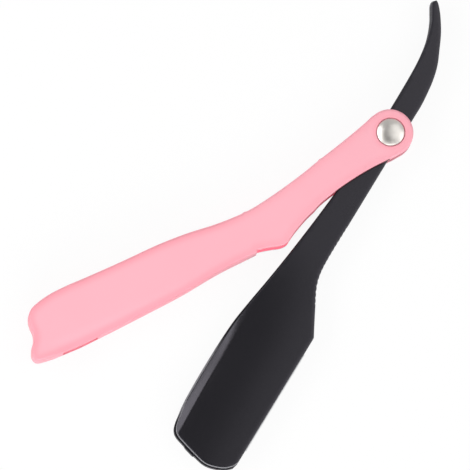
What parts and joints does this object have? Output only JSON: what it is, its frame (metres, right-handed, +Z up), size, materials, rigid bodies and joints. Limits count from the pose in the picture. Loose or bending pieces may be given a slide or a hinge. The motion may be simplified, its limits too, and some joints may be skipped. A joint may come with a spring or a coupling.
{
  "type": "straight razor with a replaceable blade",
  "caption": "Folding straight razor: a moulded channel handle, a curved tail and a two-leaf arm whose front leaf swings aside to change a half blade.",
  "frame": {"origin": "middle of the razor's box, on the surface that its handle's back face lies on", "axes": "+X from the handle's far end towards the rivet, +Y from the handle's web towards its open edge, +Z up along the rivet"},
  "size_m": [0.174, 0.0988, 0.0109],
  "materials": {
    "pink_plastic": "satin moulded plastic, pale pink",
    "black_plastic": "satin moulded plastic, black",
    "blade_steel": "ground stainless blade steel",
    "nickel": "polished nickel plate"
  },
  "bodies": {
    "handle": {"handle": "pink_plastic", "rivet_front_cap": "nickel", "rivet_socket": "nickel", "rivet_post": "nickel", "rivet_back_cap": "nickel"},
    "arm": {"back_leaf": "black_plastic", "half_blade": "blade_steel"},
    "cover": {"front_leaf": "black_plastic"}
  },
  "joints": [
    {"name": "arm_fold", "type": "hinge", "parent": "handle", "child": "arm", "pos_m": [0.05148, 0.01893, 0.005], "axis": [0, 0, 1], "range_deg": [0, 328]},
    {"name": "cover_swing", "type": "hinge", "parent": "arm", "child": "cover", "pos_m": [0.05148, 0.01893, 0.005], "axis": [0, 0, -1], "range_deg": [0, 7]}
  ]
}
